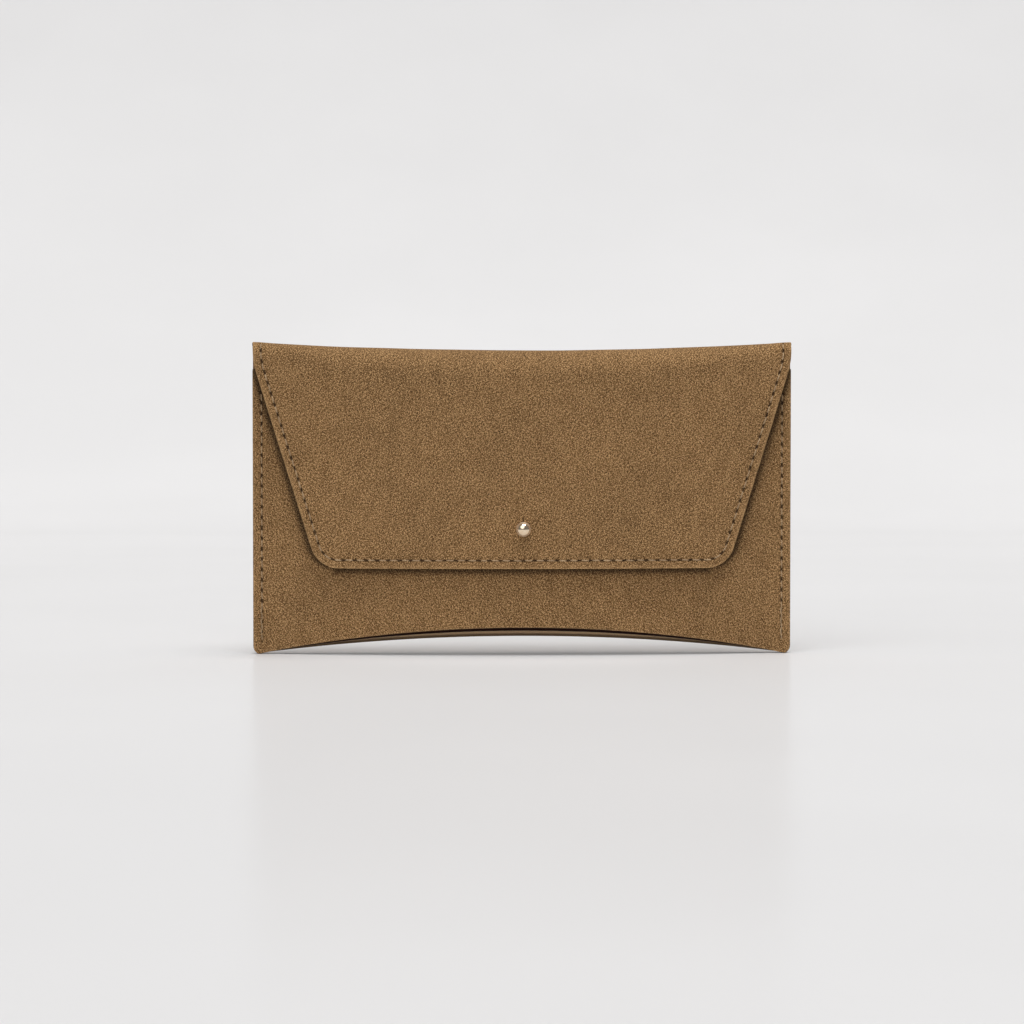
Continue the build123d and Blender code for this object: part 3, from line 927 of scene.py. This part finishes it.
# ---- the stud and its patch ----
def lathe(profile, sides, closed=False):
    """A turned piece: the profile's radii and heights, about an axis that points to the front at the stud."""
    profile = np.array(profile)
    turns = np.arange(sides) * 2 * math.pi / sides
    x = profile[:, :1] * np.cos(turns)
    z = profile[:, :1] * np.sin(turns) + STUD_Z
    y = np.repeat(profile[:, 1:], sides, axis=1)
    points = np.stack([x, -y, z], -1).reshape(-1, 3)
    faces = []
    rings = len(profile)
    for j in range(rings if closed else rings - 1):
        for k in range(sides):
            a, b = j * sides + k, j * sides + (k + 1) % sides
            c, d = (j + 1) % rings * sides + (k + 1) % sides, (j + 1) % rings * sides + k
            faces.append((a, b, c, d))
    if not closed:
        faces.append(tuple(range(sides))[::-1])
        faces.append(tuple((rings - 1) * sides + k for k in range(sides)))
    return points, faces


def quarter(centre, radius, start, end, pieces):
    """Points round part of a circle in a profile, angles in degrees."""
    turns = np.radians(np.linspace(start, end, pieces))
    return [(centre[0] + radius * math.cos(a), centre[1] + radius * math.sin(a)) for a in turns]


def make_stud():
    ball = STUD_FRONT - FRONT_MIDDLE - BALL_RADIUS
    edge, fillet = 0.25, 0.45
    profile = quarter((COLLAR_RADIUS - edge, edge), edge, -90, 0, 5)
    profile += quarter((COLLAR_RADIUS - edge, COLLAR_THICKNESS - edge), edge, 0, 90, 5)
    profile += quarter((NECK_RADIUS + fillet, COLLAR_THICKNESS + fillet), fillet, 270, 180, 7)
    under = math.degrees(math.acos(NECK_RADIUS / BALL_RADIUS))
    profile += quarter((0, ball), BALL_RADIUS, -under, 89, 40)
    points, faces = lathe(profile, sides=72)
    points[:, 1] += SEAT_Y
    piece = add_mesh("ball_stud", points, [f[::-1] for f in faces])
    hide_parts("stud")
    return dress(piece, pale_gold)


def make_patch():
    radius, thick, edge, hole = 7.0, 0.8, 0.22, 1.4
    profile = quarter((radius - edge, edge), edge, -90, 0, 4)
    profile += quarter((radius - edge, thick - edge), edge, 0, 90, 4)
    profile += [(r, thick) for r in (6.0, 5.0, 4.0, 3.0, 2.2)]
    profile += quarter((hole + edge, thick - edge), edge, 90, 180, 3)
    profile += [(hole, 0.1), (2.2, 0), (3.0, 0), (4.0, 0), (5.0, 0), (6.0, 0)]
    points, faces = lathe(profile, sides=64, closed=True)
    points = pocket_sheet(points[:, 0], points[:, 2], -points[:, 1])
    flat = np.stack([points[:, 0], points[:, 2]], 1)
    piece = add_mesh("patch_inside", points, faces, flat, {"edge": np.full(len(points), 0.1)})
    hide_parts("stud_patch")
    return dress(piece, plain_suede)


# ---- pieces ----
suede_back = make_suede_back()
suede_flap = make_suede_flap()
suede_front = make_suede_front()
lining_pocket = make_pocket_lining()
lining_flap = make_flap_lining()
ball_stud = make_stud()
patch_inside = make_patch()


def rippled(place, seed):
    """A surface with the ripple of its suede, for the stitches on it."""
    return lambda x, s, t: place(x, s, t - ripple(x, s, seed))


def from_behind(place, depth):
    """The other face of a layered sheet, where the bobbin thread lies."""
    return lambda x, s, t: place(x, s, depth - t)


def front_inside(x, s, t):
    """The inside of the front panel's suede, just clear of it."""
    return as_points(x, PANEL + 0.05 + front_bow(x) - t, s)


on_front = rippled(front_sheet, FRONT_SEED)
on_folded = rippled(folded, FOLDED_SEED)
under_lining = from_behind(folded, PRESSED_SUEDE + LINING)
rows = {
    "left_seam_needle_thread": (side_seam_path(-1), SEAM_PITCH, on_front, EXTRA_STITCHES),
    "left_seam_bobbin_thread": (side_seam_path(-1), SEAM_PITCH, on_folded, EXTRA_STITCHES),
    "right_seam_needle_thread": (side_seam_path(1), SEAM_PITCH, on_front, EXTRA_STITCHES),
    "right_seam_bobbin_thread": (side_seam_path(1), SEAM_PITCH, on_folded, EXTRA_STITCHES),
    "flap_hem_needle_thread": (flap_hem_path(), HEM_PITCH, on_folded, 0),
    "flap_hem_bobbin_thread": (flap_hem_path(), HEM_PITCH, under_lining, 0),
    "mouth_hem_needle_thread": (mouth_hem_path(), HEM_PITCH, on_front, 0),
    "mouth_hem_bobbin_thread": (mouth_hem_path(), HEM_PITCH, front_inside, 0),
}
threads = {}
for number, (node, (path, pitch, place, extra)) in enumerate(rows.items()):
    threads[node] = stitches("stitched_" + node, path, pitch, place, THREAD_SEED + number, extra)
    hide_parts(node)
    dress(threads[node], twisted)

for node in ("front_stiffener", "back_stiffener", "flap_stiffener"):
    dress(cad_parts[node], leatherboard)
dress(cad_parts["stud_screw"], pale_gold)


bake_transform(suede_back)
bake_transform(lining_pocket)
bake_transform(suede_flap)
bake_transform(lining_flap)
for node, piece in threads.items():
    if node.startswith("flap"):
        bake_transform(piece)
    else:
        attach(piece, "pouch")
for piece in (suede_front, ball_stud, patch_inside):
    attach(piece, "pouch")


# ---- studio ----
def make_backdrop():
    """A pale floor that sweeps up into a wall behind, with painted shade making the wall slightly darker.
    Lengths in metres.
    """
    half, near, far, radius, top = 4.0, -3.0, 1.0, 1.6, 4.0
    profile = [(near, 0.0)] + [(y, 0.0) for y in np.linspace(-0.6, far, 9)]
    turns = np.linspace(0, math.pi / 2, 41)[1:]
    profile += [(far + radius * math.sin(a), radius * (1 - math.cos(a))) for a in turns]
    profile.append((far + radius, top))
    points = [(x, y, z) for y, z in profile for x in (-half, half)]
    faces = [(2 * i, 2 * i + 1, 2 * i + 3, 2 * i + 2) for i in range(len(profile) - 1)]
    mesh = bpy.data.meshes.new("backdrop")
    mesh.from_pydata(points, [], faces)
    mesh.polygons.foreach_set("use_smooth", [True] * len(mesh.polygons))
    obj = bpy.data.objects.new("backdrop", mesh)
    bpy.context.scene.collection.objects.link(obj)
    shader = Shader("pale_floor")
    where = shader.solid_place()
    mottle = shader.noise(where, 3, 3)
    depth = shader.node("ShaderNodeSeparateXYZ", {0: where}).outputs[1]
    paper = shader.mix(shader.spread(mottle, 0.3, 0.7), srgb(225, 224, 224), srgb(228, 227, 227))
    # painted shade: the paper dims by up to 8% towards the wall
    material = shader.finish(
        Base_Color=shader.dim(paper, shader.spread(depth, 0.7, 1.7, 1.0, 0.92)),
        Roughness=0.9,
        Specular_IOR_Level=0.0,
    )
    share = shader.math("MULTIPLY", shader.node("ShaderNodeFresnel", {"IOR": 1.25}).outputs[0], 0.3)
    gloss = shader.node("ShaderNodeBsdfGlossy", {"Roughness": 0.2}).outputs[0]
    both = shader.node("ShaderNodeMixShader", {0: share, 1: shader.surface.outputs[0], 2: gloss}).outputs[0]
    shader.put(shader.tree.nodes["Material Output"].inputs["Surface"], both)
    obj.data.materials.append(material)


def far_light(name, towards, strength, softness):
    """A large soft light far away, shining in a direction and as soft as its width in degrees."""
    light = bpy.data.lights.new(name, "SUN")
    light.energy = strength
    light.angle = math.radians(softness)
    obj = bpy.data.objects.new(name, light)
    obj.rotation_euler = Vector(towards).to_track_quat("-Z", "Y").to_euler()
    bpy.context.scene.collection.objects.link(obj)


def make_world(strength, seen):
    """A dim room for the light and the reflections, that shows as a pale one beyond the floor's edge."""
    world = bpy.data.worlds.new("studio")
    world.use_nodes = True
    tree = world.node_tree
    background = tree.nodes["Background"]
    background.inputs["Color"].default_value = (1.0, 0.995, 0.985, 1)
    background.inputs["Strength"].default_value = strength
    shown = tree.nodes.new("ShaderNodeBackground")
    shown.inputs["Color"].default_value = seen
    both = tree.nodes.new("ShaderNodeMixShader")
    tree.links.new(tree.nodes.new("ShaderNodeLightPath").outputs["Is Camera Ray"], both.inputs[0])
    tree.links.new(background.outputs[0], both.inputs[1])
    tree.links.new(shown.outputs[0], both.inputs[2])
    tree.links.new(both.outputs[0], tree.nodes["World Output"].inputs["Surface"])
    bpy.context.scene.world = world


def make_camera(aim, distance, turn, elevation, lens):
    """A camera that looks at the aim point from a turn to the right of the front and an elevation."""
    data = bpy.data.cameras.new("camera")
    data.lens = lens
    data.sensor_width = 36
    camera = bpy.data.objects.new("camera", data)
    a, e = math.radians(turn), math.radians(elevation)
    back = Vector((math.sin(a) * math.cos(e), -math.cos(a) * math.cos(e), math.sin(e)))
    camera.location = Vector(aim) + back * distance
    camera.rotation_euler = (-back).to_track_quat("-Z", "Y").to_euler()
    bpy.context.scene.collection.objects.link(camera)
    bpy.context.scene.camera = camera


make_backdrop()
make_world(strength=0.08, seen=srgb(222, 221, 220))
far_light("key", towards=(0.3, 0.74, -0.7), strength=1.15, softness=60)
far_light("top", towards=(-0.12, 0.14, -1.0), strength=2.25, softness=40)
make_camera(aim=(-0.0037, 0, 0.0490), distance=1.0, turn=-1.3, elevation=2.0, lens=103.0)
bpy.context.scene.view_settings.view_transform = "Standard"
